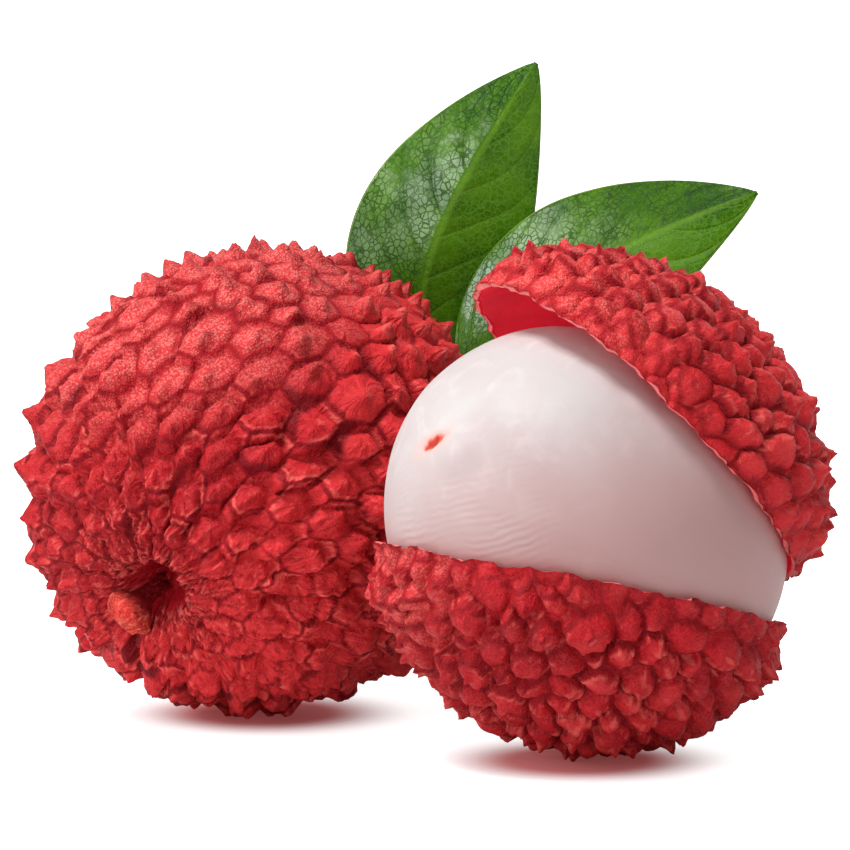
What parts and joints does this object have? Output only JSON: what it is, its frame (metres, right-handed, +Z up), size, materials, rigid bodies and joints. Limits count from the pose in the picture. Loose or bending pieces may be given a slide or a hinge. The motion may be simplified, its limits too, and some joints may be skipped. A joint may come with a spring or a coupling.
{
  "type": "bunch of lychees",
  "caption": "Bunch of lychees at rest on a surface: whole fruit, opened fruit showing white flesh in torn red rind, and leaves on a short twig behind.",
  "frame": {"origin": "middle of the bunch's footprint box, on the plane that the fruits rest on", "axes": "+X along the row from the whole fruit to the opened fruit, +Y away from the side that shows the flesh towards the leaves, +Z up"},
  "size_m": [0.0588, 0.0548, 0.0465],
  "materials": {
    "rind": null,
    "opened_rind": null,
    "stalk": "rough reddish broken stalk end",
    "flesh": null,
    "leaf": null,
    "twig": "rough brown bark"
  },
  "bodies": {
    "root": {"whole_fruit": "rind", "stem_stub": "stalk", "opened_rind_lower": "opened_rind", "opened_rind_upper": "opened_rind", "flesh": "flesh", "twig": "twig", "leaf_left": "leaf", "leaf_right": "leaf"}
  },
  "joints": []
}
